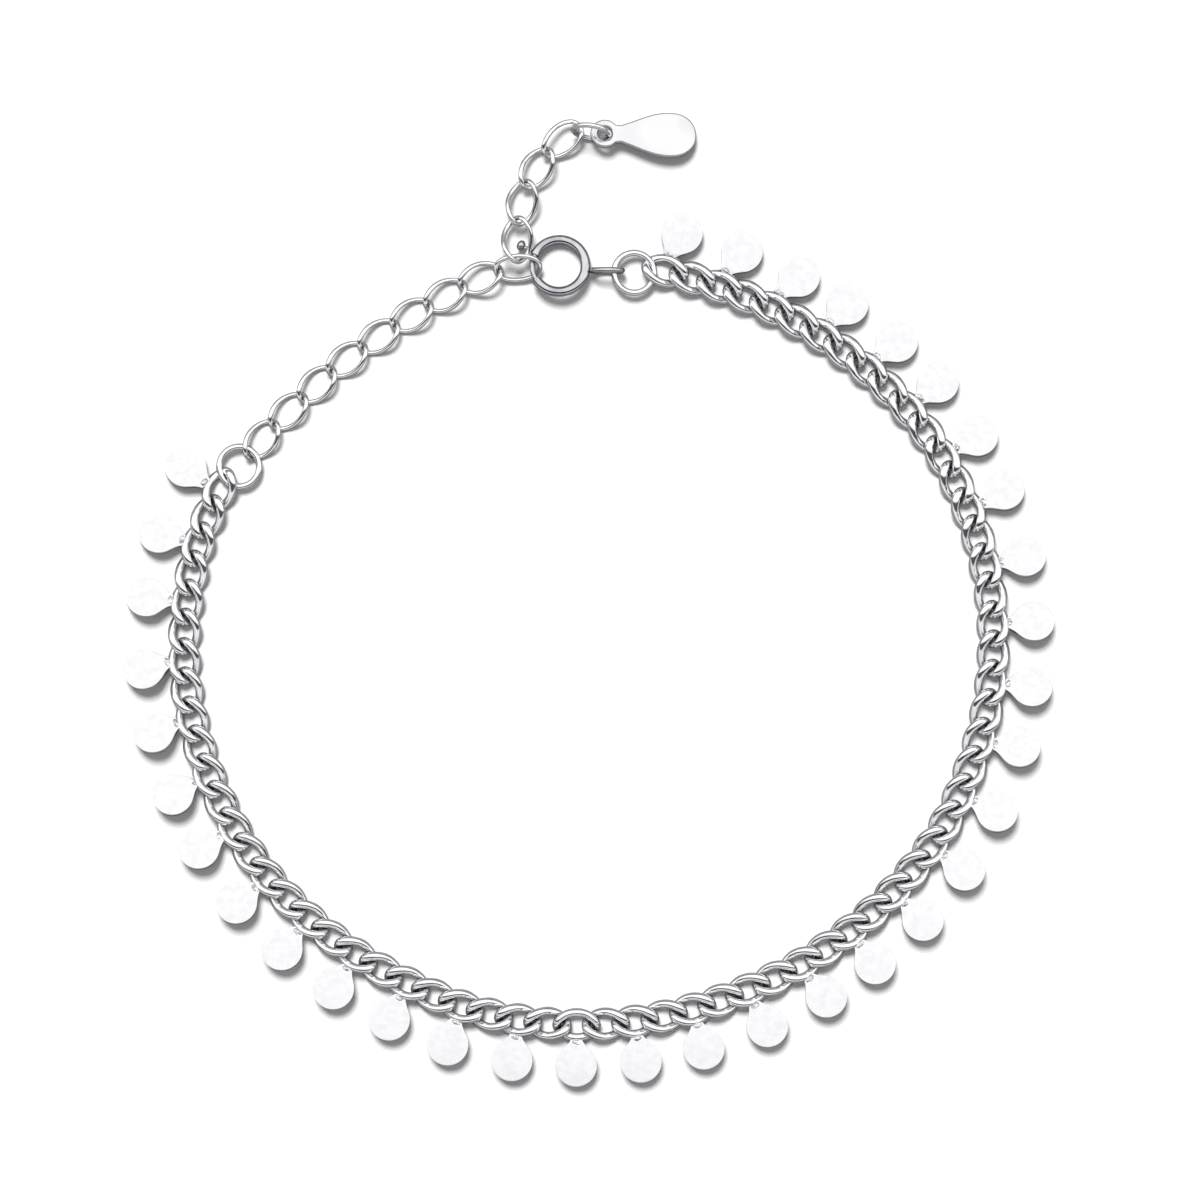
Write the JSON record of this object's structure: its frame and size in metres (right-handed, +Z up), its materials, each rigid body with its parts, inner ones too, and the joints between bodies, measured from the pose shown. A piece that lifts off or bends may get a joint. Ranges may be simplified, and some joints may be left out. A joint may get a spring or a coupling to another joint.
{
  "type": "bracelet",
  "caption": "Polished curb-chain bracelet with small round discs along its outer side, a spring-ring clasp, an extender chain and a teardrop tag, lying flat and closed.",
  "frame": {"origin": "under the middle of the outer box, on the surface that the bracelet lies on", "axes": "+Z up from the surface; +Y in the plane, towards the clasp, the extender's tail and the tag; +X to the right seen from above"},
  "size_m": [0.0742, 0.0778, 0.0032],
  "materials": {
    "silver": "polished silver",
    "clasp_silver": "polished silver, darker"
  },
  "bodies": {
    "bracelet": {"chain_with_discs": "silver", "jump_ring_left": "silver", "jump_ring_right": "silver", "extender_link_01": "silver", "extender_link_02": "silver", "extender_link_03": "silver", "extender_link_04": "silver", "extender_link_05": "silver", "extender_link_06": "silver", "extender_link_07": "silver", "extender_link_08": "silver", "extender_link_09": "silver", "extender_link_10": "silver", "extender_link_11": "silver", "extender_link_12": "silver", "extender_link_13": "silver", "tag_ring": "silver", "teardrop_tag": "silver", "clasp_ring": "clasp_silver"},
    "bolt": {"clasp_bolt": "clasp_silver"}
  },
  "joints": [
    {"name": "clasp_bolt", "type": "hinge", "parent": "bracelet", "child": "bolt", "pos_m": [-0.0024, 0.02661, 0.00105], "axis": [0, 0.1736, 0.9848], "range_deg": [-48, 0], "stiffness_Nm_per_rad": 0.0002, "springref_deg": 17.19}
  ]
}
